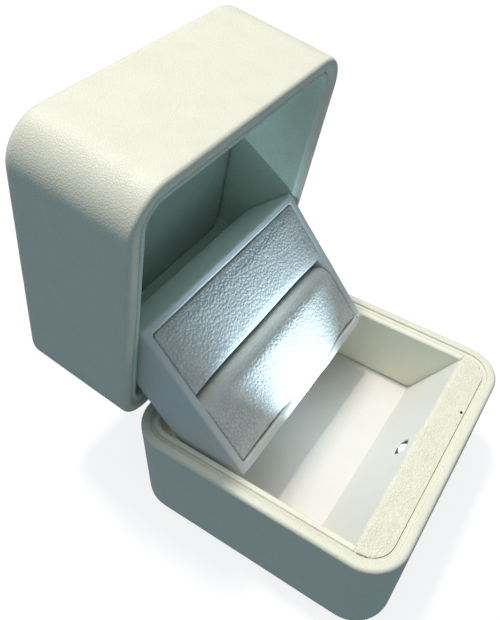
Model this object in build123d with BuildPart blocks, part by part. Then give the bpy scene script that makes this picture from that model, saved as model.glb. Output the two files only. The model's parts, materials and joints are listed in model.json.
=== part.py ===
from build123d import *
import os

# Jewelry gift box: a leather-covered ring box with a lamp in its base and a ring holder that
# swings up half as far as the lid.
# Frame: +X to the right, +Y to the back, +Z up, origin in the middle of the underside.
# Every piece of the lid and of the holder is drawn as it lies in the closed box, on planes that
# are swung about the hinge pin to where they stand in the open box.

# Whole box, millimetres
WIDTH = 70.0
DEPTH = 67.6
HEIGHT = 58.0
CORNER = 9.2  # plan radius of the four corners
EDGE = 2.6  # round along the bottom of the base and the top of the lid
OPEN_ANGLE = 80.0
HOLDER_ANGLE = OPEN_ANGLE / 2

# Rim, from the outside inwards: a raised leather bead, a lower step, a fine gap, the lining
SKIN = 0.6
BEAD = 2.3
STEP = 0.65
WALL = 3.3
FIT_GAP = 0.1
BEAD_ROUND = 0.55
PIVOT_Y = DEPTH / 2
PIVOT_Z = 29.3
RIM_GAP = 0.3
BASE_RIM = PIVOT_Z - RIM_GAP / 2
LID_RIM = PIVOT_Z + RIM_GAP / 2

# Mouldings
PAD_PROUD = 0.3
PAD_WIDTH = 59.0
PAD_CORNER = 5.0
SHELL_BOTTOM = PAD_PROUD + SKIN
PLATE = 1.6
POST_RADIUS = 2.0
POST_X = 26.0
POST_Y = (-9.0, 21.0)

# Linings
LINING = 1.6
BACK_LINING = 0.9
LINING_CORNER = 3.2
BOARD = 1.2
FLOOR = 8.9
CEILING = 50.5
FLOOR_FRONT = -14.6
LEDGE_BACK = -23.7
LEDGE_TOP = 28.7
SLOPE_FOOT = -12.8
PANEL = 1.4

# Lamp, switch and cell
LAMP_Y = -21.0
LAMP_RADIUS = 1.5
LAMP_TIP = 0.2
LAMP_LENGTH = 5.5
BEZEL_RADIUS = 2.2
LAMP_BOARD = 1.0
SWITCH_X = 13.7
SWITCH_Y = -29.7
PIN_RADIUS = 0.45
PIN_PROUD = 0.4
PIN_LENGTH = 4.8
PIN_FIT = 0.05
CELL_RADIUS = 10.0
CELL_HEIGHT = 3.2
CELL_Y = 2.0
WIRE_RADIUS = 0.4

# Hinge
BARREL = 1.3
AXLE = 0.6
AXLE_FIT = 0.04
LEAF = 0.5
LID_KNUCKLE = 7.0
BASE_KNUCKLE = (7.4, 13.6)
HOLDER_KNUCKLE = (14.0, 17.0)
NOTCH_HALF = 18.6
NOTCH_DEPTH = 1.7

# Ring holder
HOLDER_HALF = 29.4
HOLDER_REACH = 21.8  # hinge pin to the holder's face
HOLDER_BACK = 4.8  # hinge pin to the holder's back
HOLDER_TALL = 40.0
HOLDER_BAR = 2.0
HOLDER_ROUND = 3.0
CUSHION_GAP = 0.2
CUSHION_ROUND = 3.4
SLOT_GAP = 0.4

os.makedirs("parts", exist_ok=True)


def swung(plane, angle):
    """Where a plane of the closed box lies once its body has swung open by the angle."""
    turn = Location((0, PIVOT_Y, PIVOT_Z), (-angle, 0, 0)) * Location((0, -PIVOT_Y, -PIVOT_Z))
    return Plane(turn * plane.location)


def level(height, angle=0.0):
    return swung(Plane.XY.offset(height), angle)


def section(x, angle=0.0):
    """A plane square to X: its own x runs to the back and its own y runs up."""
    return swung(Plane.YZ.offset(x), angle)


def up(angle=0.0):
    """The direction that is up in the closed box, for selectors."""
    return Axis((0, 0, 0), level(0, angle).z_dir)


def block(start, height, inset, angle=0.0, far_round=0.0):
    """A prism of the box's plan, drawn in by the inset, with its far end rounded."""
    with BuildPart() as prism:
        with BuildSketch(level(start, angle)):
            RectangleRounded(WIDTH - 2 * inset, DEPTH - 2 * inset, CORNER - inset)
        extrude(amount=height)
        if far_round:
            ends = prism.faces().sort_by(up(angle))
            fillet(ends[-1 if height > 0 else 0].edges(), far_round)
    return prism.part


def slab(plane, x_range, y_range, height, mode=Mode.ADD):
    """Adds or cuts a rectangular block that stands on a plane, from its two ranges."""
    with BuildSketch(plane) as outline:
        with Locations(((x_range[0] + x_range[1]) / 2, (y_range[0] + y_range[1]) / 2)):
            Rectangle(x_range[1] - x_range[0], y_range[1] - y_range[0])
    extrude(outline.sketch, amount=height, mode=mode)


def cut_notch(side, angle=0.0):
    """Cuts the back of a rim away around the hinge barrel, below it (-1) or above it (1)."""
    reach = (PIVOT_Y - WALL - LINING, PIVOT_Y + BARREL)
    slab(level(PIVOT_Z, angle), (-NOTCH_HALF, NOTCH_HALF), reach, side * NOTCH_DEPTH, Mode.SUBTRACT)


def moulding(rim, side, far, angle=0.0):
    """The outer shape of a half's moulding, its rim stepped; side points away from the rim."""
    start = rim + side * SKIN
    with BuildPart() as shape:
        add(block(start, far - start, SKIN, angle, EDGE - SKIN))
        add(block(start, side * STEP, BEAD - SKIN, angle), mode=Mode.SUBTRACT)
    return shape.part


def leather(rim, side, far, angle=0.0):
    """The leather over a half's moulding: its outer shape with the stepped, rounded rim."""
    with BuildPart() as skin:
        add(block(rim, far - rim, 0, angle, EDGE))
        near = skin.faces().sort_by(up(angle))[0 if side > 0 else -1]
        fillet(near.edges(), BEAD_ROUND)
        add(block(rim, side * STEP, BEAD, angle), mode=Mode.SUBTRACT)
        add(block(rim, side * (SKIN + STEP), WALL, angle), mode=Mode.SUBTRACT)
    return skin.part


def lining(start, height, angle=0.0):
    """A bent lining board inside a half: sides and front of one thickness, a thinner back."""
    side = WIDTH / 2 - WALL - LINING
    front = -(DEPTH / 2 - WALL - LINING)
    back = DEPTH / 2 - WALL - FIT_GAP - BACK_LINING
    with BuildPart() as ring:
        add(block(start, height, WALL + FIT_GAP, angle))
        with BuildSketch(level(start, angle)) as room:
            with Locations((0, (front + back) / 2)):
                RectangleRounded(2 * side, back - front, LINING_CORNER)
        extrude(room.sketch, amount=height, mode=Mode.SUBTRACT)
    return ring.part


def hinge_leaf(spans, web, plate, bore, angle=0.0):
    """A stamped leaf: knuckles round the axle, a web through the notch and a plate in the wall.

    web is the side of the pin that the web touches, below (-1) or above (1).
    """
    wall = PIVOT_Y - WALL
    tangent = PIVOT_Z + web * BARREL
    neck = tangent + web * (NOTCH_DEPTH - BARREL + LEAF)
    widest = max(span[1] for span in spans)
    with BuildPart() as leaf:
        for span in spans:
            with BuildSketch(section(span[0], angle)) as knuckle:
                with Locations((PIVOT_Y, PIVOT_Z)):
                    Circle(BARREL)
                with Locations(((wall + PIVOT_Y) / 2, tangent - web * LEAF / 2)):
                    Rectangle(PIVOT_Y - wall, LEAF)
                with Locations((wall + LEAF / 2, (tangent - web * LEAF + neck) / 2)):
                    Rectangle(LEAF, abs(neck - tangent) + LEAF)
                with Locations((PIVOT_Y, PIVOT_Z)):
                    Circle(bore, mode=Mode.SUBTRACT)
            extrude(knuckle.sketch, amount=span[1] - span[0])
        slab(level(neck, angle), (-widest, widest), (wall, wall + LEAF), plate - neck)
    return leaf.part


def finish(piece, name):
    piece.part.label = name
    export_step(piece.part, f"parts/{name}.step")


# --- Base -------------------------------------------------------------------------------------

inner_x = WIDTH / 2 - WALL - FIT_GAP
inner_y = DEPTH / 2 - WALL - FIT_GAP
lined_x = WIDTH / 2 - WALL - LINING
step_level = BASE_RIM - STEP
shell_floor = SHELL_BOTTOM + PLATE
slope_fall = LEDGE_TOP - FLOOR
slope_run = SLOPE_FOOT - LEDGE_BACK
slope_length = (slope_fall**2 + slope_run**2) ** 0.5
slope_out = (0, slope_fall / slope_length, slope_run / slope_length)
lamp_drop = (LAMP_Y - LEDGE_BACK) / slope_run * slope_fall
lamp_plane = Plane((0, LAMP_Y, LEDGE_TOP - lamp_drop), x_dir=(1, 0, 0), z_dir=slope_out)
base_leaf_foot = 15.0

# Moulded tray with posts for the floor board and a recess for the hinge leaf.
with BuildPart() as base_shell:
    add(moulding(BASE_RIM, -1, SHELL_BOTTOM))
    add(block(shell_floor, HEIGHT, WALL), mode=Mode.SUBTRACT)
    with BuildSketch(level(shell_floor)):
        with Locations([(x, y) for x in (-POST_X, POST_X) for y in POST_Y]):
            Circle(POST_RADIUS)
    extrude(amount=FLOOR - BOARD - shell_floor)
    recess = (PIVOT_Y - WALL - LEAF, PIVOT_Y - WALL + LEAF + FIT_GAP)
    recess_half = BASE_KNUCKLE[1] + FIT_GAP
    slab(level(base_leaf_foot - FIT_GAP), (-recess_half, recess_half), recess, HEIGHT, Mode.SUBTRACT)
    cut_notch(-1)
finish(base_shell, "base_shell")

# Leather over the tray, turned in over the rim and under the bottom edge.
with BuildPart() as base_leather_wrap:
    add(leather(BASE_RIM, -1, PAD_PROUD))
    add(moulding(BASE_RIM, -1, SHELL_BOTTOM), mode=Mode.SUBTRACT)
    with BuildSketch(level(0)):
        RectangleRounded(PAD_WIDTH + FIT_GAP, PAD_WIDTH - 2 + FIT_GAP, PAD_CORNER)
    extrude(amount=SHELL_BOTTOM, mode=Mode.SUBTRACT)
    cut_notch(-1)
finish(base_leather_wrap, "base_leather_wrap")

# Pad that the box stands on.
with BuildPart() as base_bottom_pad:
    with BuildSketch(level(0)):
        RectangleRounded(PAD_WIDTH, PAD_WIDTH - 2, PAD_CORNER)
    extrude(amount=SHELL_BOTTOM)
    fillet(base_bottom_pad.faces().sort_by(Axis.Z)[0].edges(), 0.2)
finish(base_bottom_pad, "base_bottom_pad")

# Covered board that is the bottom of the compartment.
with BuildPart() as base_floor_panel:
    add(block(FLOOR - BOARD, BOARD, WALL + FIT_GAP))
    slab(level(FLOOR - BOARD), (-WIDTH, WIDTH), (-DEPTH, FLOOR_FRONT), BOARD, Mode.SUBTRACT)
finish(base_floor_panel, "base_floor_panel")

# Lining of the sides and the back; the front panel closes its front.
with BuildPart() as base_wall_lining:
    add(lining(FLOOR, step_level - FLOOR))
    slab(level(FLOOR), (-WIDTH, WIDTH), (-DEPTH, LEDGE_BACK - FIT_GAP), HEIGHT, Mode.SUBTRACT)
    cut_notch(-1)
finish(base_wall_lining, "base_wall_lining")

# Covered panel: a level ledge along the front, then a slope down to the floor.
slope_thick = PANEL / slope_out[1]
ledge_under = LEDGE_TOP - PANEL
slope_top_under = LEDGE_BACK - slope_thick + PANEL * slope_run / slope_fall
with BuildPart() as base_front_panel:
    with BuildSketch(section(-inner_x)):
        with BuildLine():
            Polyline(
                (-inner_y, LEDGE_TOP),
                (LEDGE_BACK, LEDGE_TOP),
                (SLOPE_FOOT, FLOOR),
                (SLOPE_FOOT - slope_thick, FLOOR),
                (slope_top_under, ledge_under),
                (-inner_y, ledge_under),
                close=True,
            )
        make_face()
    extrude(amount=2 * inner_x)
    add(block(0, HEIGHT, WALL + FIT_GAP), mode=Mode.INTERSECT)
    for side in (-1, 1):
        margin = sorted((side * (lined_x - FIT_GAP), side * WIDTH))
        slab(level(0), margin, (LEDGE_BACK - 2 * FIT_GAP, DEPTH), HEIGHT, Mode.SUBTRACT)
    bends = base_front_panel.edges().filter_by(Axis.X).group_by(Axis.Z)[-1]
    fillet(bends.sort_by(Axis.Y)[-1], 1.0)
    with Locations(lamp_plane):
        Hole(BEZEL_RADIUS + PIN_FIT, depth=2 * PANEL)
    with Locations((SWITCH_X, SWITCH_Y, LEDGE_TOP)):
        Hole(PIN_RADIUS + PIN_FIT, depth=2 * PANEL)
finish(base_front_panel, "base_front_panel")

# Lamp: a 3 mm light-emitting diode in a dark ring, on its own board behind the slope.
bezel_top = -0.3
with BuildPart() as lamp_bezel:
    with BuildSketch(lamp_plane.offset(bezel_top)):
        Circle(BEZEL_RADIUS)
        Circle(LAMP_RADIUS + FIT_GAP, mode=Mode.SUBTRACT)
    extrude(amount=-PANEL - 1.0)
finish(lamp_bezel, "lamp_bezel")

with BuildPart() as lamp:
    with BuildSketch(lamp_plane.offset(LAMP_TIP - LAMP_RADIUS)):
        Circle(LAMP_RADIUS)
    extrude(amount=-(LAMP_LENGTH + LAMP_TIP - LAMP_RADIUS))
    with Locations(lamp_plane.offset(LAMP_TIP - LAMP_RADIUS)):
        Sphere(LAMP_RADIUS)
    with BuildSketch(lamp_plane.offset(-LAMP_LENGTH)):
        Circle(LAMP_RADIUS + 0.4)
    extrude(amount=0.8)
finish(lamp, "lamp")

with BuildPart() as lamp_board:
    with BuildSketch(lamp_plane.offset(-LAMP_LENGTH)):
        RectangleRounded(10.0, 7.0, 0.8)
    extrude(amount=-LAMP_BOARD)
finish(lamp_board, "lamp_board")

# Push switch under the ledge; the closing lid's rim presses its pin.
pin_top = LEDGE_TOP + PIN_PROUD
pin_foot = pin_top - PIN_LENGTH
housing_top = pin_foot + 1.6
housing_drop = 5.0
with BuildPart() as switch_housing:
    slab(
        level(housing_top - housing_drop),
        (SWITCH_X - 3.0, SWITCH_X + 3.0),
        (-inner_y, -inner_y + 4.0),
        housing_drop,
    )
    with Locations((SWITCH_X, SWITCH_Y, housing_top)):
        Hole(PIN_RADIUS + PIN_FIT, depth=2.6)
finish(switch_housing, "switch_housing")

with BuildPart() as switch_pin:
    with BuildSketch(Plane((SWITCH_X, SWITCH_Y, pin_foot))):
        Circle(PIN_RADIUS)
    extrude(amount=PIN_LENGTH)
    fillet(switch_pin.faces().sort_by(Axis.Z)[-1].edges(), 0.2)
finish(switch_pin, "switch_pin")

# Coin cell in its holder under the floor board.
holder_side = CELL_RADIUS + 2.0
cell_base = shell_floor + 0.8
cell_top = cell_base + CELL_HEIGHT
with BuildPart() as cell_holder:
    with BuildSketch(Plane((0, CELL_Y, shell_floor))):
        RectangleRounded(2 * holder_side, 2 * holder_side, 3.0)
    extrude(amount=cell_top - shell_floor)
    with BuildSketch(Plane((0, CELL_Y, cell_base))):
        Circle(CELL_RADIUS + 0.2)
    extrude(amount=CELL_HEIGHT, mode=Mode.SUBTRACT)
finish(cell_holder, "cell_holder")

with BuildPart() as coin_cell:
    with BuildSketch(Plane((0, CELL_Y, cell_base))):
        Circle(CELL_RADIUS)
    extrude(amount=CELL_HEIGHT)
    chamfer(coin_cell.faces().sort_by(Axis.Z)[0].edges(), 0.3)
finish(coin_cell, "coin_cell")

with BuildPart() as cell_contact:
    slab(level(cell_top), (-2.5, 2.5), (CELL_Y - holder_side, CELL_Y + holder_side), 0.3)
finish(cell_contact, "cell_contact")

# Two wires from the cell holder, forward along the tray and up to the back of the lamp board.
board_back = lamp_plane.offset(-LAMP_LENGTH - LAMP_BOARD)
wire_height = shell_floor + 1.5
for name, x in (("lamp_wire_left", -2.0), ("lamp_wire_right", 2.0)):
    tip = board_back.from_local_coords((x, -1.5, 0))
    heel = board_back.from_local_coords((x, -1.5, -2.2))
    route = [
        (x, CELL_Y - holder_side, wire_height),
        (x, tip.Y - 1.0, wire_height),
        (x, heel.Y - 0.4, tip.Z - 6.0),
        heel,
        tip,
    ]
    with BuildPart() as lamp_wire:
        with BuildLine() as path:
            FilletPolyline(*route, radius=(3.0, 2.2, 0.9))
        with BuildSketch(Plane(origin=path.line @ 0, z_dir=path.line % 0)):
            Circle(WIRE_RADIUS)
        sweep()
    finish(lamp_wire, name)

# --- Hinge ------------------------------------------------------------------------------------

base_spans = ((-BASE_KNUCKLE[1], -BASE_KNUCKLE[0]), BASE_KNUCKLE)
with BuildPart() as hinge_base_leaf:
    add(hinge_leaf(base_spans, -1, base_leaf_foot, AXLE))
finish(hinge_base_leaf, "hinge_base_leaf")

with BuildPart() as hinge_pin:
    with BuildSketch(Plane((-HOLDER_KNUCKLE[1] - 0.3, PIVOT_Y, PIVOT_Z), z_dir=(1, 0, 0))):
        Circle(AXLE)
    extrude(amount=2 * (HOLDER_KNUCKLE[1] + 0.3))
finish(hinge_pin, "hinge_pin")

lid_leaf_foot = 2 * PIVOT_Z - base_leaf_foot
lid_spans = ((-LID_KNUCKLE, LID_KNUCKLE),)
with BuildPart() as hinge_lid_leaf:
    add(hinge_leaf(lid_spans, 1, lid_leaf_foot, AXLE + AXLE_FIT, OPEN_ANGLE))
finish(hinge_lid_leaf, "hinge_lid_leaf")

# --- Lid --------------------------------------------------------------------------------------

lid_roof = HEIGHT - SKIN
with BuildPart() as lid_shell:
    add(moulding(LID_RIM, 1, lid_roof, OPEN_ANGLE))
    add(block(lid_roof - PLATE, -HEIGHT, WALL, OPEN_ANGLE), mode=Mode.SUBTRACT)
    with BuildSketch(level(lid_roof - PLATE, OPEN_ANGLE)):
        with Locations([(x, y) for x in (-POST_X, POST_X) for y in POST_Y]):
            Circle(POST_RADIUS)
    extrude(amount=CEILING + BOARD - lid_roof + PLATE)
    recess_half = LID_KNUCKLE + FIT_GAP
    lid_recess = level(lid_leaf_foot + FIT_GAP, OPEN_ANGLE)
    slab(lid_recess, (-recess_half, recess_half), recess, -HEIGHT, Mode.SUBTRACT)
    cut_notch(1, OPEN_ANGLE)
finish(lid_shell, "lid_shell")

with BuildPart() as lid_leather_wrap:
    add(leather(LID_RIM, 1, HEIGHT, OPEN_ANGLE))
    add(moulding(LID_RIM, 1, lid_roof, OPEN_ANGLE), mode=Mode.SUBTRACT)
    cut_notch(1, OPEN_ANGLE)
finish(lid_leather_wrap, "lid_leather_wrap")

with BuildPart() as lid_ceiling_panel:
    add(block(CEILING, BOARD, WALL + FIT_GAP, OPEN_ANGLE))
finish(lid_ceiling_panel, "lid_ceiling_panel")

lid_step = LID_RIM + STEP
with BuildPart() as lid_wall_lining:
    add(lining(lid_step, CEILING - lid_step, OPEN_ANGLE))
    cut_notch(1, OPEN_ANGLE)
finish(lid_wall_lining, "lid_wall_lining")

# --- Ring holder ------------------------------------------------------------------------------

holder_face = PIVOT_Y - HOLDER_REACH
holder_back = PIVOT_Y - HOLDER_BACK
holder_foot = PIVOT_Z - HOLDER_TALL / 2
panel_front = holder_back - BOARD
leaf_front = panel_front - LEAF
room_x = HOLDER_HALF - HOLDER_BAR
room_low = holder_foot + HOLDER_BAR
room_high = holder_foot + HOLDER_TALL - HOLDER_BAR
arm_low = PIVOT_Z - 0.4
arm_high = PIVOT_Z + 0.4


def facing(y):
    """A plane square to the holder's depth, seen from the front of the box."""
    return swung(Plane((0, y, 0), x_dir=(1, 0, 0), z_dir=(0, -1, 0)), HOLDER_ANGLE)


# Covered frame round the cushions, open at the front and at the back.
with BuildPart() as holder_frame:
    with BuildSketch(level(holder_foot, HOLDER_ANGLE)):
        with Locations((0, (holder_face + holder_back) / 2)):
            Rectangle(2 * HOLDER_HALF, holder_back - holder_face)
    extrude(amount=HOLDER_TALL)
    uprights = holder_frame.edges().filter_by(up(HOLDER_ANGLE))
    depth_axis = Axis((0, 0, 0), facing(0).z_dir)
    fillet(uprights.group_by(depth_axis)[0], HOLDER_ROUND)
    slab(facing(holder_back), (-room_x, room_x), (room_low, room_high), DEPTH, Mode.SUBTRACT)
finish(holder_frame, "holder_frame")

# Board across the back, slotted for the two arms.
with BuildPart() as holder_back_panel:
    panel_x = room_x - FIT_GAP
    slab(facing(holder_back), (-panel_x, panel_x), (room_low + FIT_GAP, room_high - FIT_GAP), BOARD)
    for side in (-1, 1):
        slot = sorted((side * (HOLDER_KNUCKLE[0] - FIT_GAP), side * (HOLDER_KNUCKLE[1] + FIT_GAP)))
        heights = (arm_low - FIT_GAP, arm_high + FIT_GAP)
        slab(facing(holder_back), slot, heights, BOARD, Mode.SUBTRACT)
finish(holder_back_panel, "holder_back_panel")

# Bracket inside the holder with two arms back to the hinge pin.
with BuildPart() as holder_bracket:
    bracket_x = HOLDER_KNUCKLE[1]
    slab(facing(panel_front), (-bracket_x, bracket_x), (PIVOT_Z - 4.0, PIVOT_Z + 4.0), LEAF)
    for side in (-1, 1):
        near, far = sorted((side * HOLDER_KNUCKLE[0], side * HOLDER_KNUCKLE[1]))
        with BuildSketch(section(near, HOLDER_ANGLE)) as arm:
            with Locations(((leaf_front + PIVOT_Y) / 2, PIVOT_Z)):
                Rectangle(PIVOT_Y - leaf_front, arm_high - arm_low)
            with Locations((PIVOT_Y, PIVOT_Z)):
                Circle(BARREL)
                Circle(AXLE + AXLE_FIT, mode=Mode.SUBTRACT)
        extrude(arm.sketch, amount=far - near)
finish(holder_bracket, "holder_bracket")

# Two soft cushions that hold the ring between them.
cushion_x = room_x - CUSHION_GAP
cushion_spans = {
    "ring_cushion_lower": (room_low + CUSHION_GAP, PIVOT_Z - SLOT_GAP / 2),
    "ring_cushion_upper": (PIVOT_Z + SLOT_GAP / 2, room_high - CUSHION_GAP),
}
for name, heights in cushion_spans.items():
    with BuildPart() as cushion:
        cushion_depth = leaf_front - CUSHION_GAP - holder_face
        slab(facing(leaf_front - CUSHION_GAP), (-cushion_x, cushion_x), heights, cushion_depth)
        lips = cushion.edges().filter_by(Axis.X).group_by(depth_axis)[-1]
        fillet(lips, CUSHION_ROUND)
    finish(cushion, name)
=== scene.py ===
import json
import math

import bmesh
import bpy
from mathutils import Matrix, Vector, noise


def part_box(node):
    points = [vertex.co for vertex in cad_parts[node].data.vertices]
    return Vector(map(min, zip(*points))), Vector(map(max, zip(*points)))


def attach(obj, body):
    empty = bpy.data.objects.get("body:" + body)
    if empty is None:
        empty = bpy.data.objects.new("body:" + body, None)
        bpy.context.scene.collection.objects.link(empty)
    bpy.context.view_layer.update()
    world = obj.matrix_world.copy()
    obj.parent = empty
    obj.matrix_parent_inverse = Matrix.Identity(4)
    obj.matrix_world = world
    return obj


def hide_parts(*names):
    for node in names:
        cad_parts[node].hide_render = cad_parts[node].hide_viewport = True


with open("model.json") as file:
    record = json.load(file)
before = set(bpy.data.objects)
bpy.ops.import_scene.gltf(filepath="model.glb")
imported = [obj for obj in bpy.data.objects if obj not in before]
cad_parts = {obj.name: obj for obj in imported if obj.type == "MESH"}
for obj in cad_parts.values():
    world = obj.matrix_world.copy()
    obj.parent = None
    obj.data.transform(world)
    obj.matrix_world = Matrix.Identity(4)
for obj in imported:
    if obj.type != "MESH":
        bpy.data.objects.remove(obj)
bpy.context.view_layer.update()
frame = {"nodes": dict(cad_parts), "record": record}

# -------- Sizes, in metres. Pieces of the lid and of the ring holder are drawn as in the closed box and
# then swung open about the hinge pin.

MM = 0.001
joints = {joint["name"]: joint for joint in frame["record"]["behaviour"]["joints"]}
PIVOT = Vector(joints["lid_hinge"]["pos_m"])
LID_OPEN = math.radians(joints["lid_hinge"]["range_deg"][1])
HOLDER_OPEN = math.radians(joints["holder_swing"]["range_deg"][1])

base_low, base_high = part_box("base_leather_wrap")
WIDTH = base_high[0] - base_low[0]
DEPTH = base_high[1] - base_low[1]
BASE_RIM = base_high[2]
BASE_FOOT = base_low[2]
LID_RIM = 2 * PIVOT.z - BASE_RIM
LID_TOP = 58.0 * MM
CORNER = 9.2 * MM
EDGE = 2.6 * MM

SKIN = 0.6 * MM
BEAD = 2.3 * MM
STEP = 0.65 * MM
WALL = 3.3 * MM
GAP = 0.1 * MM
LINING = 1.6 * MM
BACK_LINING = 0.9 * MM

floor_low, floor_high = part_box("base_floor_panel")
FLOOR = floor_high[2]
panel_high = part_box("base_front_panel")[1]
LEDGE_TOP = panel_high[2]
LEDGE_BACK = -23.7 * MM
SLOPE_FOOT = panel_high[1]
PANEL = 1.4 * MM
CEILING = 50.5 * MM
BOARD = 1.2 * MM

HOLDER_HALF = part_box("holder_frame")[1][0]
HOLDER_FACE = PIVOT.y - 21.8 * MM
HOLDER_BACK = PIVOT.y - 4.8 * MM
HOLDER_TALL = 40.0 * MM
HOLDER_BAR = 2.0 * MM

NOTCH_HALF = 18.6 * MM
NOTCH_DEPTH = 1.7 * MM
PEBBLE = 0.95 * MM


# -------- Mesh helpers


def swing(angle):
    """The turn about the hinge pin that opens a closed piece by the angle."""
    return Matrix.Translation(PIVOT) @ Matrix.Rotation(-angle, 4, "X") @ Matrix.Translation(-PIVOT)


def add_object(name, mesh):
    piece = bpy.data.objects.new(name, mesh)
    bpy.context.collection.objects.link(piece)
    return piece


def object_from_bmesh(name, bm, smooth=True):
    mesh = bpy.data.meshes.new(name)
    bm.to_mesh(mesh)
    bm.free()
    for face in mesh.polygons:
        face.use_smooth = smooth
    return add_object(name, mesh)


def frozen(piece):
    """The piece with its modifiers worked into a plain mesh."""
    graph = bpy.context.evaluated_depsgraph_get()
    mesh = bpy.data.meshes.new_from_object(piece.evaluated_get(graph), depsgraph=graph)
    piece.modifiers.clear()
    old = piece.data
    piece.data = mesh
    mesh.name = piece.name
    if old.users == 0:
        bpy.data.meshes.remove(old)
    return piece


def shade_smooth(piece):
    for face in piece.data.polygons:
        face.use_smooth = True
    return piece


def fill_holes(piece):
    bm = bmesh.new()
    bm.from_mesh(piece.data)
    bmesh.ops.remove_doubles(bm, verts=bm.verts, dist=0.002 * MM)
    rims = [edge for edge in bm.edges if edge.is_boundary]
    if rims:
        bmesh.ops.holes_fill(bm, edges=rims, sides=0)
    bmesh.ops.recalc_face_normals(bm, faces=bm.faces)
    bm.to_mesh(piece.data)
    bm.free()
    return shade_smooth(piece)


def cut_away(piece, low, high):
    """Cuts a box out of a closed piece with a boolean."""
    bm = bmesh.new()
    middle = (Vector(low) + Vector(high)) / 2
    span = Vector(high) - Vector(low)
    place = Matrix.Translation(middle) @ Matrix.Diagonal((*span, 1))
    bmesh.ops.create_cube(bm, size=1, matrix=place)
    return subtract(piece, object_from_bmesh("cutter", bm, smooth=False))


def trim_front(piece, y):
    """Cuts off what lies in front of a depth and closes the cut."""
    bm = bmesh.new()
    bm.from_mesh(piece.data)
    everything = list(bm.verts) + list(bm.edges) + list(bm.faces)
    bmesh.ops.bisect_plane(
        bm, geom=everything, plane_co=(0, y, 0), plane_no=(0, 1, 0), clear_inner=True
    )
    bm.to_mesh(piece.data)
    bm.free()
    return fill_holes(piece)


def subtract(piece, cutter):
    modifier = piece.modifiers.new("cut", "BOOLEAN")
    modifier.operation = "DIFFERENCE"
    modifier.solver = "EXACT"
    modifier.object = cutter
    frozen(piece)
    bpy.data.objects.remove(cutter)
    return piece


def finish_piece(piece, body, slot, *nodes, angle=0.0):
    """Swings a closed piece open, then hangs it on the body it rides on and hides the parts it stands
    in for. The slot is not used.
    """
    if angle:
        piece.data.transform(swing(angle))
    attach(piece, body)
    if nodes:
        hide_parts(*nodes)
    return piece


def arc(centre, radius, start, end, steps):
    """Points on an arc, from and to angles in degrees."""
    turns = [math.radians(start + (end - start) * i / steps) for i in range(steps + 1)]
    return [(centre[0] + radius * math.cos(t), centre[1] + radius * math.sin(t)) for t in turns]


def thinned(points, spacing):
    """The same line with points added so that no step is longer than the spacing."""
    line = [points[0]]
    for point in points[1:]:
        last = line[-1]
        gap = math.dist(last, point)
        count = max(1, math.ceil(gap / spacing))
        for i in range(1, count + 1):
            line.append(tuple(a + (b - a) * i / count for a, b in zip(last, point)))
    return line


# -------- Node helpers


class Nodes:
    """Adds and links the nodes of one tree."""

    def __init__(self, tree):
        self.tree = tree

    def add(self, kind, inputs=None, **settings):
        node = self.tree.nodes.new(kind)
        for name, value in settings.items():
            setattr(node, name, value)
        for name, value in (inputs or {}).items():
            socket = node.inputs[name]
            if isinstance(value, bpy.types.NodeSocket):
                self.tree.links.new(value, socket)
            else:
                socket.default_value = value
        return node

    def math(self, operation, *values):
        return self.add("ShaderNodeMath", dict(enumerate(values)), operation=operation).outputs[0]

    def vector(self, operation, *values):
        node = self.add("ShaderNodeVectorMath", dict(enumerate(values)), operation=operation)
        return node.outputs["Vector"]

    def scaled(self, vector, factor):
        inputs = {"Vector": vector, "Scale": factor}
        return self.add("ShaderNodeVectorMath", inputs, operation="SCALE").outputs["Vector"]

    def ramp(self, value, low, high, start=0.0, end=1.0):
        inputs = {"Value": value, "From Min": low, "From Max": high, "To Min": start, "To Max": end}
        return self.add("ShaderNodeMapRange", inputs, interpolation_type="SMOOTHSTEP").outputs[0]

    def noise(self, vector, size, detail=3.0, roughness=0.5):
        inputs = {"Vector": vector, "Scale": 1 / size, "Detail": detail, "Roughness": roughness}
        return self.add("ShaderNodeTexNoise", inputs)


def geometry_tree(name, sizes):
    """A Geometry Nodes tree with the named inputs; sizes maps a name to a number or a type."""
    tree = bpy.data.node_groups.new(name, "GeometryNodeTree")
    face = tree.interface
    face.new_socket(name="Geometry", in_out="INPUT", socket_type="NodeSocketGeometry")
    for label, value in sizes.items():
        if isinstance(value, str):
            face.new_socket(name=label, in_out="INPUT", socket_type=value)
        else:
            kind = "NodeSocketInt" if isinstance(value, int) else "NodeSocketFloat"
            face.new_socket(name=label, in_out="INPUT", socket_type=kind).default_value = value
    face.new_socket(name="Geometry", in_out="OUTPUT", socket_type="NodeSocketGeometry")
    nodes = Nodes(tree)
    return nodes, nodes.add("NodeGroupInput").outputs


def close_tree(nodes, geometry, material):
    real = nodes.add("GeometryNodeRealizeInstances", {"Geometry": geometry})
    inputs = {"Geometry": real.outputs[0], "Material": material}
    painted = nodes.add("GeometryNodeSetMaterial", inputs)
    nodes.add("NodeGroupOutput", {"Geometry": painted.outputs[0]})
    return nodes.tree


def grow(piece, tree, **values):
    """Runs a Geometry Nodes tree on the piece, with its inputs by name, and keeps the mesh."""
    modifier = piece.modifiers.new(tree.name, "NODES")
    modifier.node_group = tree
    sockets = {item.name: item for item in tree.interface.items_tree if item.in_out == "INPUT"}
    for name, value in values.items():
        modifier[sockets[name.replace("_", " ")].identifier] = value
    return frozen(piece)


# -------- Materials


def material(name, **shader):
    """A principled material with its uniform values on the shader's own sockets."""
    made = bpy.data.materials.new(name)
    made.use_nodes = True
    nodes = Nodes(made.node_tree)
    principled = made.node_tree.nodes["Principled BSDF"]
    for label, value in shader.items():
        principled.inputs[label.replace("_", " ")].default_value = value
    place = nodes.add("ShaderNodeTexCoord").outputs["Object"]
    return made, nodes, principled, place


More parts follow.
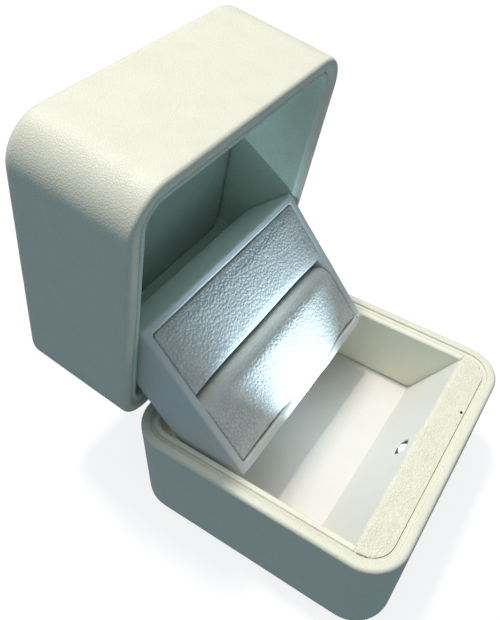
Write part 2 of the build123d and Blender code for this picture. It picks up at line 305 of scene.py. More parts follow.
def surfaced(nodes, shader, colour, roughness, height, depth):
    """Links the colour and roughness of a material, and a bump of the height and depth."""
    bump = nodes.add("ShaderNodeBump", {"Height": height, "Distance": depth, "Strength": 1.0})
    link = nodes.tree.links.new
    link(colour, shader.inputs["Base Color"])
    link(roughness, shader.inputs["Roughness"])
    link(bump.outputs["Normal"], shader.inputs["Normal"])


def mixed(nodes, factor, first, second):
    """Mixes two colours, each given as three numbers or as another node's output."""
    node = nodes.add("ShaderNodeMix", data_type="RGBA")
    nodes.tree.links.new(factor, node.inputs["Factor"])
    colours = [socket for socket in node.inputs if socket.type == "RGBA"]
    for socket, colour in zip(colours, (first, second)):
        if isinstance(colour, bpy.types.NodeSocket):
            nodes.tree.links.new(colour, socket)
        else:
            socket.default_value = (*colour, 1)
    return next(socket for socket in node.outputs if socket.type == "RGBA")


def leather(name, colour, crease, cell, depth, roughness, gloss=0.42, drawn=None):
    """Embossed leather: rounded cells with creases between them, a finer grain and soft blotches.

    cell is the size of a pebble and depth that of the creases between pebbles. drawn is a height
    and a colour: below it the leather is drawn tight, its pebbles nearly gone, and its colour is
    swapped for the given one, a tint of painted light.
    """
    fine, worn = 0.35, 0.04
    made, nodes, shader, place = material(name, Specular_IOR_Level=gloss)
    drift = nodes.noise(place, 2.4 * cell, 2.0)
    push = nodes.scaled(nodes.vector("SUBTRACT", drift.outputs["Color"], (0.5, 0.5, 0.5)), 0.9 * cell)
    bent = nodes.vector("ADD", place, push)
    edges = {"Vector": bent, "Scale": 1 / cell}
    cells = nodes.add("ShaderNodeTexVoronoi", edges, feature="DISTANCE_TO_EDGE")
    pebble = nodes.ramp(cells.outputs["Distance"], 0.0, 0.32)
    if drawn:
        level = nodes.add("ShaderNodeSeparateXYZ", {"Vector": place}).outputs["Z"]
        tight = nodes.ramp(level, drawn[0], drawn[0] + 1.0 * MM, 0.85, 0.0)
        pebble = nodes.math("MAXIMUM", pebble, tight)
    grain = nodes.noise(place, 0.22 * cell, 3.0, 0.6).outputs["Fac"]
    slack = nodes.noise(place, 9 * MM, 2.0).outputs["Fac"]
    height = nodes.math("ADD", pebble, nodes.math("MULTIPLY", grain, fine))
    height = nodes.math("ADD", height, nodes.math("MULTIPLY", slack, 0.8))
    shade = nodes.math("MULTIPLY", nodes.math("SUBTRACT", 1.0, pebble), 0.3)
    blotch = nodes.ramp(nodes.noise(place, 6 * MM, 4.0, 0.6).outputs["Fac"], 0.35, 0.7, 0.0, 0.2)
    tint = nodes.math("ADD", shade, blotch)
    shown = mixed(nodes, tint, colour, crease)
    # Below the drawn height the colour is painted light: the lamp's bluish glow on the slope.
    if drawn:
        shown = mixed(nodes, tight, shown, drawn[1])
    dull = nodes.math("MULTIPLY", nodes.math("SUBTRACT", 1.0, pebble), 0.15)
    wear = nodes.ramp(nodes.noise(place, 4 * MM, 5.0, 0.65).outputs["Fac"], 0.3, 0.7, -worn, worn)
    rough = nodes.math("ADD", nodes.math("ADD", roughness, dull), wear)
    surfaced(nodes, shader, shown, rough, height, depth)
    return made


def pebble_cells(nodes, place, scale):
    """Distance to the nearest crease of the cushions' grain, in cells."""
    drift = nodes.add(
        "ShaderNodeTexNoise", {"Vector": place, "Scale": nodes.math("MULTIPLY", scale, 0.45)}
    )
    push = nodes.vector("SUBTRACT", drift.outputs["Color"], (0.5, 0.5, 0.5))
    push = nodes.scaled(push, nodes.math("DIVIDE", 0.9, scale))
    cells = nodes.add(
        "ShaderNodeTexVoronoi",
        {"Vector": nodes.vector("ADD", place, push), "Scale": scale},
        feature="DISTANCE_TO_EDGE",
    )
    return cells.outputs["Distance"]


def pebble_leather(name, colour, crease):
    """Leather whose pebbles are in the mesh; here their creases are cut sharper and darkened with
    painted shade.

    The mesh keeps where the grain was laid out and how strongly it stands up there.
    """
    made, nodes, shader, place = material(name, Specular_IOR_Level=0.42)
    laid = nodes.add("ShaderNodeAttribute", attribute_name="grain_place").outputs["Vector"]
    relief = nodes.add("ShaderNodeAttribute", attribute_name="relief").outputs["Fac"]
    edge = pebble_cells(nodes, laid, 1 / PEBBLE)
    dome = nodes.math("MULTIPLY", nodes.ramp(edge, 0.0, 0.3), relief)
    cut = nodes.math("SUBTRACT", 1.0, nodes.ramp(edge, 0.0, 0.13))
    between = nodes.math("MULTIPLY", cut, relief)
    grain = nodes.noise(place, 0.16 * MM, 3.0, 0.6).outputs["Fac"]
    height = nodes.math("ADD", nodes.math("MULTIPLY", dome, 2.8), grain)
    blotch = nodes.ramp(nodes.noise(place, 5 * MM, 4.0, 0.6).outputs["Fac"], 0.35, 0.7, 0.0, 0.25)
    # Darker in the creases between pebbles: painted shade; the blotches are the leather's own uneven
    # tone.
    tint = nodes.math("ADD", nodes.math("MULTIPLY", between, 0.7), blotch)
    rough = nodes.math("ADD", 0.36, nodes.math("MULTIPLY", between, 0.25))
    rough = nodes.math("ADD", rough, nodes.math("MULTIPLY", grain, 0.12))
    surfaced(nodes, shader, mixed(nodes, tint, colour, crease), rough, height, 0.014 * MM)
    return made


def moulded(name, colour, dark, roughness, size=0.25 * MM, depth=0.006 * MM):
    """Moulded plastic: a fine spark-eroded grain and faint flow marks."""
    made, nodes, shader, place = material(name)
    grain = nodes.noise(place, size, 2.0, 0.6).outputs["Fac"]
    flow = nodes.noise(nodes.vector("MULTIPLY", place, (1.0, 1.0, 0.3)), 7 * MM, 3.0).outputs["Fac"]
    shown = mixed(nodes, nodes.ramp(flow, 0.3, 0.7), colour, dark)
    level = nodes.ramp(grain, 0.2, 0.8, roughness - 0.06, roughness + 0.06)
    surfaced(nodes, shader, shown, level, grain, depth)
    return made


def brushed(name, colour, dark, roughness):
    """Rolled metal with fine lines along X."""
    made, nodes, shader, place = material(name, Metallic=1.0)
    stretched = nodes.vector("MULTIPLY", place, (0.04, 1.0, 1.0))
    lines = nodes.noise(stretched, 0.12 * MM, 4.0, 0.7).outputs["Fac"]
    smear = nodes.noise(place, 3 * MM, 3.0).outputs["Fac"]
    shown = mixed(nodes, nodes.ramp(smear, 0.35, 0.7), colour, dark)
    level = nodes.ramp(lines, 0.2, 0.8, roughness - 0.08, roughness + 0.1)
    surfaced(nodes, shader, shown, level, lines, 0.004 * MM)
    return made


def velvet(name, colour, dark):
    """Short pile with brushed patches."""
    made, nodes, shader, place = material(name, Sheen_Weight=0.6, Sheen_Roughness=0.4)
    pile = nodes.noise(place, 0.12 * MM, 2.0, 0.7).outputs["Fac"]
    patch = nodes.noise(place, 8 * MM, 3.0).outputs["Fac"]
    tint = nodes.math("MULTIPLY", nodes.ramp(patch, 0.35, 0.65), pile)
    level = nodes.ramp(pile, 0.2, 0.8, 0.8, 0.95)
    surfaced(nodes, shader, mixed(nodes, tint, colour, dark), level, pile, 0.05 * MM)
    return made


def lit_lens(name):
    """Clear epoxy, lit from inside: brightest where the die shows, bluer at its edge."""
    made, nodes, shader, place = material(name, Roughness=0.12, Emission_Strength=3.0)
    facing = nodes.add("ShaderNodeLayerWeight", {"Blend": 0.35}).outputs["Facing"]
    swirl = nodes.noise(place, 0.6 * MM, 2.0).outputs["Fac"]
    glow = nodes.math("ADD", facing, nodes.math("MULTIPLY", swirl, 0.15))
    link = nodes.tree.links.new
    link(mixed(nodes, glow, (0.95, 0.98, 1.0), (0.55, 0.75, 1.0)), shader.inputs["Emission Color"])
    link(mixed(nodes, swirl, (0.9, 0.95, 1.0), (0.8, 0.88, 1.0)), shader.inputs["Base Color"])
    return made


CREAM = (0.80, 0.775, 0.615)
CREAM_CREASE = (0.66, 0.63, 0.48)
outer_leather = leather(
    "outer_leather", CREAM, CREAM_CREASE, 0.55 * MM, 0.022 * MM, 0.42, gloss=0.5
)
# Partly painted light: the base lining's cream is brightened to stand in for the bounce light on the
# tray walls.
smooth_leather = leather(
    "smooth_lining_leather", (0.87, 0.84, 0.69), (0.78, 0.75, 0.60), 0.4 * MM, 0.010 * MM, 0.55
)
holder_leather = leather(
    "holder_leather", (0.80, 0.79, 0.72), (0.70, 0.69, 0.62), 0.4 * MM, 0.014 * MM, 0.45
)
floor_leather = leather(
    "floor_leather", (0.76, 0.72, 0.655), (0.68, 0.64, 0.57), 0.4 * MM, 0.010 * MM, 0.55
)
# Painted light: the lid lining's blue-green cast is the lamp's bluish light and the cool fill in the
# lid, laid into the leather's colour.
pebbled_leather = leather(
    "pebbled_lining_leather", (0.74, 0.82, 0.70), (0.57, 0.63, 0.54), 0.75 * MM, 0.05 * MM, 0.5
)
cushion_leather = pebble_leather("cushion_leather", (0.80, 0.765, 0.675), (0.56, 0.53, 0.46))
# Below the ledge the slope's pebbles are drawn out, which is real, and its greyer, bluer colour is
# painted light: the lamp's bluish glow on the slope.
front_leather = leather(
    "front_panel_leather",
    (0.84, 0.805, 0.635),
    (0.68, 0.645, 0.48),
    0.8 * MM,
    0.12 * MM,
    0.5,
    drawn=(LEDGE_TOP - 1.2 * MM, (0.745, 0.73, 0.68)),
)
shell_plastic = moulded("shell_plastic", (0.66, 0.63, 0.52), (0.58, 0.55, 0.45), 0.5)
black_plastic = moulded("black_plastic", (0.018, 0.018, 0.02), (0.03, 0.03, 0.033), 0.42)
board_green = moulded("board_laminate", (0.03, 0.17, 0.07), (0.02, 0.11, 0.05), 0.35)
wire_red = moulded("wire_sleeve", (0.42, 0.03, 0.025), (0.3, 0.02, 0.02), 0.45)
hinge_steel = brushed("hinge_steel", (0.62, 0.61, 0.60), (0.46, 0.45, 0.44), 0.32)
cell_steel = brushed("cell_steel", (0.72, 0.72, 0.73), (0.6, 0.6, 0.61), 0.25)
contact_brass = brushed("contact_brass", (0.78, 0.58, 0.27), (0.62, 0.44, 0.2), 0.3)
pad_velvet = velvet("pad_velvet", (0.60, 0.55, 0.42), (0.42, 0.38, 0.28))
lamp_lens = lit_lens("lamp_lens")

CARRIED_OVER = {
    shell_plastic: ("base_shell", "lid_shell"),
    black_plastic: ("lamp_bezel", "switch_housing", "cell_holder"),
    board_green: ("lamp_board",),
    wire_red: ("lamp_wire_left", "lamp_wire_right"),
    hinge_steel: ("hinge_base_leaf", "hinge_lid_leaf", "hinge_pin", "holder_bracket"),
    cell_steel: ("coin_cell",),
    contact_brass: ("cell_contact",),
    pad_velvet: ("base_bottom_pad",),
    holder_leather: ("holder_back_panel",),
    lamp_lens: ("lamp",),
}
for finish, names in CARRIED_OVER.items():
    for node_name in names:
        mesh = frame["nodes"][node_name].data
        mesh.materials.clear()
        mesh.materials.append(finish)


# -------- Swept leather: a section carried round the plan of the box


def sweep_tree():
    """Sweeps the piece's own curve, its section, round a rounded rectangle.

    The section's x is the distance outwards from the plan's edge and its y the depth below the
    level of the plan.
    """
    sizes = {
        "Width": 0.07,
        "Depth": 0.07,
        "Corner": 0.009,
        "Spacing": 0.001,
        "Corner Steps": 14,
        "Unevenness": 0.0,
        "Wave": 0.006,
        "Seed": 0,
        "Material": "NodeSocketMaterial",
    }
    nodes, given = geometry_tree("leather_sweep", sizes)
    plan = nodes.add(
        "GeometryNodeCurvePrimitiveQuadrilateral",
        {"Width": given["Width"], "Height": given["Depth"]},
        mode="RECTANGLE",
    )
    evened = nodes.add("GeometryNodeSubdivideCurve", {"Curve": plan.outputs[0], "Cuts": 1})
    rounded = nodes.add(
        "GeometryNodeFilletCurve",
        {"Curve": evened.outputs[0], "Count": given["Corner Steps"], "Radius": given["Corner"]},
        mode="POLY",
    )
    spaced = nodes.add(
        "GeometryNodeResampleCurve",
        {"Curve": rounded.outputs[0], "Length": given["Spacing"]},
        mode="LENGTH",
    )
    upright = nodes.add("GeometryNodeSetCurveNormal", {"Curve": spaced.outputs[0]}, mode="Z_UP")
    swept = nodes.add(
        "GeometryNodeCurveToMesh",
        {"Curve": upright.outputs[0], "Profile Curve": given["Geometry"]},
    )
    place = nodes.add("GeometryNodeInputPosition").outputs[0]
    facing = nodes.add("GeometryNodeInputNormal").outputs[0]
    wave = nodes.math("DIVIDE", 1.0, given["Wave"])
    swell = nodes.add(
        "ShaderNodeTexNoise",
        {"Vector": place, "W": given["Seed"], "Scale": wave, "Detail": 1.0},
        noise_dimensions="4D",
    )
    amount = nodes.math("SUBTRACT", swell.outputs[0], 0.5)
    amount = nodes.math("MULTIPLY", amount, given["Unevenness"])
    moved = nodes.add(
        "GeometryNodeSetPosition",
        {"Geometry": swept.outputs[0], "Offset": nodes.scaled(facing, amount)},
    )
    smooth = nodes.add("GeometryNodeSetShadeSmooth", {"Geometry": moved.outputs[0]})
    return close_tree(nodes, smooth.outputs[0], given["Material"])


leather_sweep = sweep_tree()


def swept_leather(name, section, width, depth, corner, finish, closed=True, **values):
    """Sweeps a section of (inset, height) points round a rounded rectangle."""
    curve = bpy.data.curves.new(name, "CURVE")
    curve.dimensions = "2D"
    line = curve.splines.new("POLY")
    line.points.add(len(section) - 1)
    for point, (inset, height) in zip(line.points, section):
        point.co = (-inset, -height, 0, 1)
    line.use_cyclic_u = closed
    piece = add_object(name, curve)
    modifier = piece.modifiers.new("leather_sweep", "NODES")
    modifier.node_group = leather_sweep
    sockets = {item.name: item for item in leather_sweep.interface.items_tree}
    values = {"Width": width, "Depth": depth, "Corner": corner, "Material": finish, **values}
    for label, value in values.items():
        modifier[sockets[label.replace("_", " ")].identifier] = value
    graph = bpy.context.evaluated_depsgraph_get()
    mesh = bpy.data.meshes.new_from_object(piece.evaluated_get(graph), depsgraph=graph)
    bpy.data.objects.remove(piece)
    mesh.name = name
    return fill_holes(add_object(name, mesh))


def wrap_section(rim, side, far, roof):
    """The leather's section, from inside the far end round the rim and along the wall.

    side is -1 for the base and 1 for the lid; roof is the inset where the section ends.
    """
    step = rim + side * STEP
    inside = far - side * SKIN
    inner = arc((EDGE, 0), EDGE - SKIN, 90, 180, 6)
    back = [(roof, inside)] + [(x, inside - side * (EDGE - SKIN - y)) for x, y in inner]
    tuck = [(SKIN, step + side * SKIN), (WALL, step + side * SKIN)]
    bead = [
        (WALL, step + side * 0.2 * MM),
        (WALL - 0.15 * MM, step),
        (BEAD + 0.12 * MM, step),
        (BEAD, step - side * 0.08 * MM),
    ]
    for centre, turn, start in ((BEAD - 0.5 * MM, 0.5 * MM, 0), (0.95 * MM, 0.95 * MM, 90)):
        crown = arc((centre, 0), turn, start, start + 90, 8)
        bead += [(x, rim + side * (turn - y)) for x, y in crown]
    outside = arc((EDGE, 0), EDGE, 180, 90, 10)
    wall = [(x, far - side * (EDGE - y)) for x, y in outside]
    return thinned(back + tuck, 4 * MM) + thinned(bead + wall + [(roof, far)], 1.0 * MM)


def notch(piece, side):
    """Opens the back of a rim round the hinge barrel."""
    near, far = sorted((PIVOT.z, PIVOT.z + side * NOTCH_DEPTH))
    reach = (PIVOT.y - WALL - LINING, PIVOT.y + 1.3 * MM)
    return cut_away(piece, (-NOTCH_HALF, reach[0], near), (NOTCH_HALF, reach[1], far))


def grid_roof(piece, height, spacing, unevenness, seed):
    """Divides the flat face at a height into a grid and makes it softly uneven."""
    bm = bmesh.new()
    bm.from_mesh(piece.data)
    bm.faces.ensure_lookup_table()
    roof = max(bm.faces, key=lambda face: len(face.verts) if face.normal.z * height > 0 else 0)
    for vert in roof.verts:
        vert.co.z = abs(height)
    low = Vector(min(v.co[i] for v in roof.verts) for i in range(3))
    high = Vector(max(v.co[i] for v in roof.verts) for i in range(3))
    parts = [roof]
    for axis in (0, 1):
        count = max(2, round((high[axis] - low[axis]) / spacing))
        for step in range(1, count):
            where = low.copy()
            where[axis] += (high[axis] - low[axis]) * step / count
            across = Vector((axis == 0, axis == 1, 0))
            near = [f for f in parts if f.is_valid]
            geometry = set(near)
            for face in near:
                geometry.update(face.edges)
                geometry.update(face.verts)
            cut = bmesh.ops.bisect_plane(
                bm, geom=list(geometry), dist=1e-7, plane_co=where, plane_no=across
            )
            made = {item for item in cut["geom"] if isinstance(item, bmesh.types.BMFace)}
            parts = list(made | {f for f in near if f.is_valid})
    seen = {vert for face in parts for vert in face.verts}
    for vert in seen:
        inside = min(
            vert.co.x - low.x, high.x - vert.co.x, vert.co.y - low.y, high.y - vert.co.y
        )
        fade = min(max(inside / (4 * MM), 0.0), 1.0)
        place = Vector((vert.co.x, vert.co.y, seed * MM)) / (8 * MM)
        vert.co.z += noise.noise(place) * unevenness * fade
    bmesh.ops.remove_doubles(bm, verts=list(seen), dist=0.1 * MM)
    bm.to_mesh(piece.data)
    bm.free()
    return shade_smooth(piece)


PAD_INSET = 5.55 * MM
WRAPPED = {"Spacing": 1.0 * MM, "Unevenness": 0.10 * MM, "Wave": 7 * MM}
base_leather = swept_leather(
    "base_leather",
    wrap_section(BASE_RIM, -1, BASE_FOOT, PAD_INSET),
    WIDTH,
    DEPTH,
    CORNER,
    outer_leather,
    Seed=3,
    **WRAPPED,
)
notch(base_leather, -1)
finish_piece(base_leather, "base", "cream_leather", "base_leather_wrap")

# The lid's leather closes over its top: the section stops where the corners run out.
lid_leather = swept_leather(
    "lid_leather",
    wrap_section(LID_RIM, 1, LID_TOP, CORNER - 0.02 * MM),
    WIDTH,
    DEPTH,
    CORNER,
    outer_leather,
    closed=False,
    Seed=8,
    **WRAPPED,
)
grid_roof(lid_leather, LID_TOP, 2 * MM, 0.06 * MM, 5)
notch(lid_leather, 1)
finish_piece(lid_leather, "lid", "cream_leather", "lid_leather_wrap", angle=LID_OPEN)


# -------- Linings and covered boards


def lining_section(top, side, foot):
    """A lining board's section, its edge at the rim rolled over; side is as for the wraps."""
    outer = WALL + GAP
    inner = WALL + LINING
    roll = 0.75 * MM
    turn = arc((inner - roll, 0), roll, 90, 0, 8)
    line = [(outer, foot), (outer, top + side * 0.15 * MM), (outer + 0.15 * MM, top)]
    line += [(x, top + side * (roll - y)) for x, y in turn]
    line += [(inner, foot - side * 0.2 * MM), (inner - 0.2 * MM, foot)]
    return thinned(line, 1.5 * MM)


def thin_back(piece):
    """Draws the back of a lining out to the thickness that the ring holder leaves it."""
    start = 20 * MM
    back = DEPTH / 2 - WALL - LINING
    for vert in piece.data.vertices:
        inset = min(WIDTH / 2 - abs(vert.co.x), DEPTH / 2 - vert.co.y)
        if vert.co.y > start and inset > WALL + 2 * GAP:
            share = min((vert.co.y - start) / (back - start), 1.0)
            depth = min((inset - WALL) / LINING, 1.0)
            vert.co.y += (LINING - GAP - BACK_LINING) * share * depth
    return piece


LINE_GAP = 0.18 * MM
base_lining = swept_leather(
    "base_lining",
    lining_section(BASE_RIM - STEP + GAP, -1, FLOOR + LINE_GAP),
    WIDTH,
    DEPTH,
    CORNER,
    smooth_leather,
    Spacing=1.0 * MM,
    Unevenness=0.12 * MM,
    Wave=6 * MM,
    Seed=11,
)
thin_back(base_lining)
trim_front(base_lining, LEDGE_BACK - GAP)
notch(base_lining, -1)
finish_piece(base_lining, "base", "lining_leather", "base_wall_lining")

lid_lining = swept_leather(
    "lid_lining",
    lining_section(LID_RIM + STEP, 1, CEILING - LINE_GAP),
    WIDTH,
    DEPTH,
    CORNER,
    pebbled_leather,
    Spacing=1.0 * MM,
    Unevenness=0.14 * MM,
    Wave=6 * MM,
    Seed=14,
)
thin_back(lid_lining)
notch(lid_lining, 1)
finish_piece(lid_lining, "lid", "lining_leather", "lid_wall_lining", angle=LID_OPEN)


def covered_board(name, low, high, finish, seed):
    """A board of the inner plan, its leather turned over rounded edges."""
    inset = WALL + GAP
    turn = 0.35 * MM
    upper = arc((inset + turn, 0), turn, 90, 180, 5)
    lower = arc((inset + turn, 0), turn, 180, 270, 5)
    section = [(CORNER - 0.02 * MM, high)]
    section += [(x, high - turn + y) for x, y in upper]
    section += [(x, low + turn + y) for x, y in lower]
    section.append((CORNER - 0.02 * MM, low))
    return swept_leather(
        name,
        thinned(section, 1.5 * MM),
        WIDTH,
        DEPTH,
        CORNER,
        finish,
        closed=False,
        Spacing=1.2 * MM,
        Unevenness=0.04 * MM,
        Wave=8 * MM,
        Seed=seed,
    )


base_floor_cover = covered_board("base_floor_cover", FLOOR - BOARD, FLOOR, floor_leather, 21)
grid_roof(base_floor_cover, FLOOR, 2 * MM, 0.10 * MM, 21)
trim_front(base_floor_cover, floor_low[1])
finish_piece(base_floor_cover, "base", "lining_leather", "base_floor_panel")

lid_ceiling_cover = covered_board("lid_ceiling_cover", CEILING, CEILING + BOARD, pebbled_leather, 24)
grid_roof(lid_ceiling_cover, -CEILING, 2 * MM, 0.10 * MM, 24)
finish_piece(lid_ceiling_cover, "lid", "lining_leather", "lid_ceiling_panel", angle=LID_OPEN)


# -------- Front panel of the tray: a level ledge, a soft bend and the slope that the lamp shines from

slope_run = SLOPE_FOOT - LEDGE_BACK
slope_fall = LEDGE_TOP - FLOOR
SLOPE_OUT = Vector((0, slope_fall, slope_run)).normalized()
LAMP_Y = -21.0 * MM
LAMP = Vector((0, LAMP_Y, LEDGE_TOP - (LAMP_Y - LEDGE_BACK) / slope_run * slope_fall))
PIN_PLACE = Vector((13.7 * MM, -29.7 * MM, LEDGE_TOP))
PIN_HOLE = 0.36 * MM


PANEL_HALF = WIDTH / 2 - WALL - GAP
SLOPE_HALF = WIDTH / 2 - WALL - LINING - GAP
LEDGE_DROP = 0.08 * MM


def panel_line():
    """(depth, height, half width) of each row of the panel's upper side, front to foot."""
    outline = CORNER - WALL - GAP
    half = PANEL_HALF
    front = -(DEPTH / 2 - WALL - GAP)
    rows = []
    for x, y in arc((half - outline, front + outline), outline, -90, 0, 18):
        rows.append((y, LEDGE_TOP, x))
    bend = 1.4 * MM
    tilt = math.atan2(slope_fall, slope_run)
    flat_end = LEDGE_BACK - bend * math.tan(tilt / 2)
    start = rows[-1][0]
    count = math.ceil((flat_end - start) / (0.5 * MM))
    for i in range(1, count):
        rows.append((start + (flat_end - start) * i / count, LEDGE_TOP, half))
    meeting = LEDGE_BACK - GAP - 0.05 * MM
    for y, z in arc((flat_end, LEDGE_TOP - bend), bend, 90, 90 - math.degrees(tilt), 12):
        if rows[-1][2] == half and y > meeting:
            rows.append((y - 0.02 * MM, z, half))
            rows.append((y, z, SLOPE_HALF))
        else:
            rows.append((y, z, rows[-1][2]))
    y, z, _ = rows[-1]
    count = math.ceil(math.dist((y, z), (SLOPE_FOOT, FLOOR)) / (0.6 * MM))
    for i in range(1, count + 1):
        share = i / count
        rows.append((y + (SLOPE_FOOT - y) * share, z + (FLOOR - z) * share, SLOPE_HALF))
    return rows


def panel_edge(x, y, half):
    """Where a point of the panel's width lies.

    Its rim is a little wavy and its slope narrower, and at one side the leather has lifted.
    """
    inner = 29 * MM
    fold_front, fold_back, fold_width = -27.6 * MM, -24.3 * MM, 0.3 * MM
    reach = abs(x)
    if y > -(DEPTH / 2 - CORNER) and reach > inner:
        reach = inner + (reach - inner) * (half - inner) / (PANEL_HALF - inner)
    elif y <= -(DEPTH / 2 - CORNER):
        reach = reach * half / PANEL_HALF
    wave = noise.noise(Vector((x, y, 0)) / (5 * MM))
    if half == PANEL_HALF and reach > inner:
        reach += (0.08 + 0.04 * wave) * MM * (reach - inner) / (half - inner)
    lifted = x < 0 and fold_front < y < fold_back
    if lifted and reach > PANEL_HALF - fold_width:
        reach -= 0.2 * MM
    return math.copysign(reach, x)


def front_panel():
    rows = panel_line()
    columns = 100
    bm = bmesh.new()
    upper, lower = [], []
    last = len(rows) - 1
    for number, (y, z, half) in enumerate(rows):
        before, after = rows[max(number - 1, 0)], rows[min(number + 1, last)]
        along = Vector((0, after[0] - before[0], after[1] - before[1]))
        if along.length == 0:
            along = Vector((0, 1, 0))
        out = Vector((1, 0, 0)).cross(along.normalized())
        top_row, low_row = [], []
        for column in range(columns + 1):
            x = PANEL_HALF * (2 * column / columns - 1)
            place = Vector((panel_edge(x, y, half), y, z - LEDGE_DROP))
            swell = noise.noise(place / (7 * MM) + Vector((4, 0, 0))) * 0.07 * MM
            top_row.append(bm.verts.new(place + out * swell))
            low_row.append(bm.verts.new(place - out * PANEL))
        upper.append(top_row)
        lower.append(low_row)
    for i in range(last):
        for j in range(columns):
            bm.faces.new((upper[i][j], upper[i][j + 1], upper[i + 1][j + 1], upper[i + 1][j]))
            bm.faces.new((lower[i][j], lower[i + 1][j], lower[i + 1][j + 1], lower[i][j + 1]))
        for j, turned in ((0, False), (columns, True)):
            side = (upper[i][j], upper[i + 1][j], lower[i + 1][j], lower[i][j])
            bm.faces.new(side[::-1] if turned else side)
    for i, turned in ((0, True), (last, False)):
        for j in range(columns):
            end = (upper[i][j], upper[i][j + 1], lower[i][j + 1], lower[i][j])
            bm.faces.new(end[::-1] if turned else end)
    bmesh.ops.recalc_face_normals(bm, faces=bm.faces)
    piece = object_from_bmesh("base_front_cover", bm)
    bevel = piece.modifiers.new("turned_edge", "BEVEL")
    bevel.width = 0.13 * MM
    bevel.segments = 3
    bevel.limit_method = "ANGLE"
    bevel.angle_limit = math.radians(60)
    return frozen(piece)


def drill(piece, place, direction, radius):
    """Punches a round hole through a piece."""
    bm = bmesh.new()
    turn = direction.to_track_quat("Z", "Y").to_matrix().to_4x4()
    bmesh.ops.create_cone(
        bm,
        cap_ends=True,
        segments=48,
        radius1=radius,
        radius2=radius,
        depth=8 * PANEL,
        matrix=Matrix.Translation(place) @ turn,
    )
    return subtract(piece, object_from_bmesh("drill", bm, smooth=False))


base_front_cover = front_panel()
base_front_cover.data.materials.append(front_leather)
drill(base_front_cover, LAMP, SLOPE_OUT, 2.28 * MM)
drill(base_front_cover, PIN_PLACE, Vector((0, 0, 1)), PIN_HOLE)
shade_smooth(base_front_cover)
finish_piece(base_front_cover, "base", "lining_leather", "base_front_panel")


def turned_pin():
    """The switch's pin: a round nose through the ledge and a thicker shank under it."""
    low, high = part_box("switch_pin")
    shank = (high.x - low.x) / 2
    nose = 0.3 * MM
    shoulder = LEDGE_TOP - PANEL - 0.2 * MM
    line = [(0, low.z), (shank - 0.08 * MM, low.z), (shank, low.z + 0.08 * MM)]
    line += [(shank, shoulder - 0.1 * MM), (shank - 0.1 * MM, shoulder), (nose, shoulder)]
    line += arc((0, high.z - nose), nose, 0, 90, 6)
    bm = bmesh.new()
    steps = 32
    rings = []
    for radius, height in line:
        count = steps if radius > 0.001 * MM else 1
        turns = [2 * math.pi * i / count for i in range(count)]
        spots = [(radius * math.cos(turn), radius * math.sin(turn)) for turn in turns]
        rings.append([bm.verts.new((PIN_PLACE.x + x, PIN_PLACE.y + y, height)) for x, y in spots])
    for ring, following in zip(rings, rings[1:]):
        for i in range(steps):
            j = (i + 1) % steps
            corners = [ring[i % len(ring)], ring[j % len(ring)]]
            corners += [following[j % len(following)], following[i % len(following)]]
            bm.faces.new(list(dict.fromkeys(corners)))
    bmesh.ops.recalc_face_normals(bm, faces=bm.faces)
    pin = object_from_bmesh("switch_nose", bm)
    pin.data.materials.append(black_plastic)
    return pin


finish_piece(turned_pin(), "switch_pin", "dark_plastic", "switch_pin")


# -------- Ring holder: a covered frame, a tongue of its leather folded over at one lower corner


def holder_loop(bm, half_x, half_z, radius, y):
    """One ring of points round the frame, always the same number of them."""
    sides, steps = (56, 38), 6
    ring = []
    corners = ((1, 1, 0), (-1, 1, 90), (-1, -1, 180), (1, -1, 270))
    for number, (sx, sz, start) in enumerate(corners):
        centre = (sx * (half_x - radius), sz * (half_z - radius))
        turn = arc(centre, radius, start, start + 90, steps)
        ring += turn
        nx, nz, following = corners[(number + 1) % 4]
        centre = (nx * (half_x - radius), nz * (half_z - radius))
        goal = arc(centre, radius, following, following + 90, 1)[0]
        count = sides[number % 2]
        here = turn[-1]
        for i in range(1, count):
            ring.append(tuple(a + (b - a) * i / count for a, b in zip(here, goal)))
    return [bm.verts.new((x, y, PIVOT.z + z)) for x, z in ring]


def corner_fold(bm):
    """The tongue of leather that is folded over at the holder's lower corner."""
    middle = Vector((HOLDER_HALF - 1.0 * MM, HOLDER_FACE, PIVOT.z - HOLDER_TALL / 2 + 1.6 * MM))
    span = Matrix.Diagonal((2.1 * MM, 0.6 * MM, 1.1 * MM, 1))
    turn = Matrix.Rotation(math.radians(4), 4, "Y")
    made = bmesh.ops.create_cube(bm, size=1, matrix=Matrix.Translation(middle) @ turn @ span)
    edges = {edge for vert in made["verts"] for edge in vert.link_edges}
    bmesh.ops.bevel(
        bm, geom=list(edges), offset=0.22 * MM, segments=4, profile=0.5, affect="EDGES"
    )


